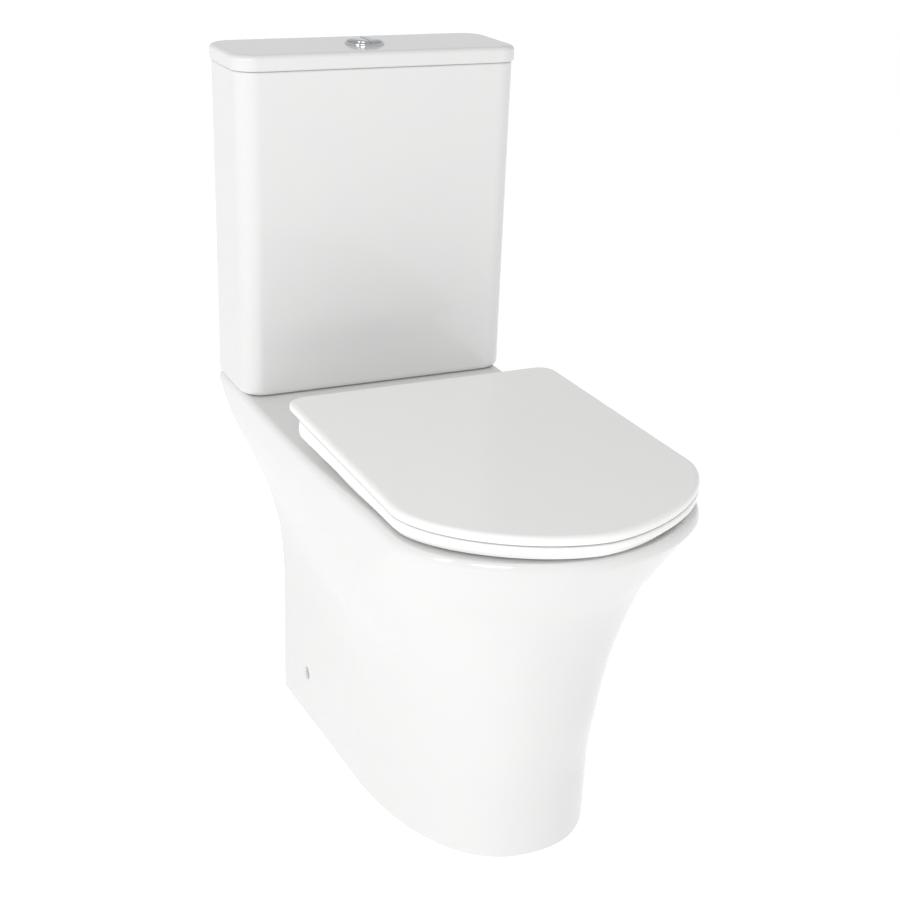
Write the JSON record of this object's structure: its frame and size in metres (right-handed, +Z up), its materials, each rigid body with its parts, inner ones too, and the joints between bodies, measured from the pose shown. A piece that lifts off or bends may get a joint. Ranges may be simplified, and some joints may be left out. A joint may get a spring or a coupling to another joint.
{
  "type": "close coupled toilet",
  "caption": "White close coupled toilet with a flared shrouded pan, slim cistern with a dual push button, and a D-shaped soft-close seat and cover that lift.",
  "frame": {"origin": "centre of the overall box in plan, at floor level", "axes": "+Z up, the front of the pan faces -Y, +X to the right of someone facing the front of the toilet"},
  "size_m": [0.3648, 0.714, 0.8244],
  "materials": {
    "china": "clear gloss glaze",
    "seat": "polished urea moulding",
    "chrome": "polished chrome plate",
    "plastic": "moulded",
    "nylon": "moulded",
    "rubber": "matte",
    "steel": "bright",
    "brass": "turned"
  },
  "bodies": {
    "base": {"pan": "china", "cistern_tank": "china", "hinge_post_left": "chrome", "hinge_post_right": "chrome", "flush_valve_body": "plastic", "fill_valve_body": "plastic", "wing_nut_left": "nylon", "wing_nut_right": "nylon", "flush_valve_backnut": "nylon", "actuator_head": "nylon", "fill_valve_backnut": "nylon", "fill_valve_cap": "nylon", "hinge_nut_left": "nylon", "hinge_nut_right": "nylon", "floor_bracket_left": "nylon", "floor_bracket_right": "nylon", "coupling_gasket": "rubber", "bolt_seal_left": "rubber", "bolt_seal_right": "rubber", "flush_valve_washer": "rubber", "fill_valve_washer": "rubber", "hinge_washer_left": "rubber", "hinge_washer_right": "rubber", "hinge_stud_left": "steel", "hinge_stud_right": "steel", "floor_screw_left": "steel", "floor_screw_right": "steel", "side_screw_left": "steel", "side_screw_right": "steel", "coupling_bolt_left": "brass", "coupling_bolt_right": "brass", "bolt_washer_left": "brass", "bolt_washer_right": "brass"},
    "ring": {"seat_ring": "seat", "ring_buffer_rear_left": "rubber", "ring_buffer_rear_right": "rubber", "ring_buffer_front_left": "rubber", "ring_buffer_front_right": "rubber"},
    "cover": {"seat_cover": "seat", "cover_damper": "steel", "cover_buffer_left": "rubber", "cover_buffer_right": "rubber"},
    "lid": {"cistern_lid": "china", "button_bezel": "chrome", "button_locknut": "plastic"},
    "half_button": {"half_flush_button": "chrome", "half_flush_rod": "plastic"},
    "full_button": {"full_flush_button": "chrome", "full_flush_rod": "plastic"},
    "flush_tube": {"overflow_tube": "plastic", "overflow_seal": "rubber"},
    "float": {"float_cup": "plastic", "adjuster_rod": "brass"},
    "lever": {"float_lever": "plastic"}
  },
  "joints": [
    {"name": "ring_hinge", "type": "hinge", "parent": "base", "child": "ring", "pos_m": [0, 0.0885, 0.428], "axis": [-1, 0, 0], "range_deg": [0, 95]},
    {"name": "cover_hinge", "type": "hinge", "parent": "ring", "child": "cover", "pos_m": [0, 0.0885, 0.428], "axis": [1, 0, 0], "range_deg": [-95, 0]},
    {"name": "lid_lift", "type": "slide", "parent": "base", "child": "lid", "axis": [0, 0, 1], "range_m": [0, 0.12]},
    {"name": "half_press", "type": "slide", "parent": "lid", "child": "half_button", "axis": [0, 0, -1], "range_m": [0, 0.005], "stiffness_N_per_m": 800, "springref_m": -0.004},
    {"name": "full_press", "type": "slide", "parent": "lid", "child": "full_button", "axis": [0, 0, -1], "range_m": [0, 0.005], "stiffness_N_per_m": 800, "springref_m": -0.004},
    {"name": "tube_lift", "type": "slide", "parent": "base", "child": "flush_tube", "axis": [0, 0, 1], "range_m": [0, 0.012]},
    {"name": "float_slide", "type": "slide", "parent": "base", "child": "float", "axis": [0, 0, 1], "range_m": [-0.012, 0]},
    {"name": "lever_hinge", "type": "hinge", "parent": "base", "child": "lever", "pos_m": [-0.099, 0.292, 0.6956], "axis": [0, 1, 0], "range_deg": [0, 24.78]}
  ],
  "couplings": [
    {"joint": "tube_lift", "follows": "full_press", "ratio": 2.4},
    {"joint": "lever_hinge", "follows": "float_slide", "rad_per_m": -36.04}
  ]
}
